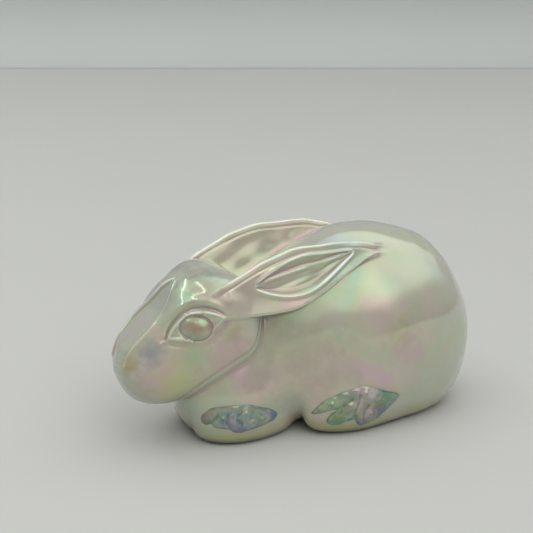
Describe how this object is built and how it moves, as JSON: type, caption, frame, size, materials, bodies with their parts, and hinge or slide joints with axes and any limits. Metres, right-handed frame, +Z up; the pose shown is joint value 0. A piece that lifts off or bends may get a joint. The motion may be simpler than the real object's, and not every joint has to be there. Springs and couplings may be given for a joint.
{
  "type": "glass rabbit figurine",
  "caption": "Crouching rabbit figurine of glossy iridescent opal glass, ears laid back along its shoulders, paws in low relief, standing on its own flat base as an ornament or paperweight.",
  "frame": {"origin": "middle of the bounding box on the plane that the figurine stands on", "axes": "+X towards the nose, +Y towards the rabbit's left side, +Z up"},
  "size_m": [0.099, 0.0452, 0.0484],
  "materials": {
    "opal_glass": "glossy opal white with a pearly iridescent lustre",
    "paw_lustre": "glossy, darker blue-grey iridescent lustre"
  },
  "bodies": {
    "root": {"trunk": "opal_glass", "head": "opal_glass", "tail": "opal_glass", "ear_left": "opal_glass", "ear_right": "opal_glass", "eye_left": "opal_glass", "eye_right": "opal_glass", "haunch_left": "opal_glass", "haunch_right": "opal_glass", "foreleg_left": "opal_glass", "foreleg_right": "opal_glass", "hind_foot_left": "opal_glass", "hind_foot_right": "opal_glass", "forepaw_left": "paw_lustre", "forepaw_right": "paw_lustre", "hindpaw_left": "paw_lustre", "hindpaw_right": "paw_lustre"}
  },
  "joints": []
}
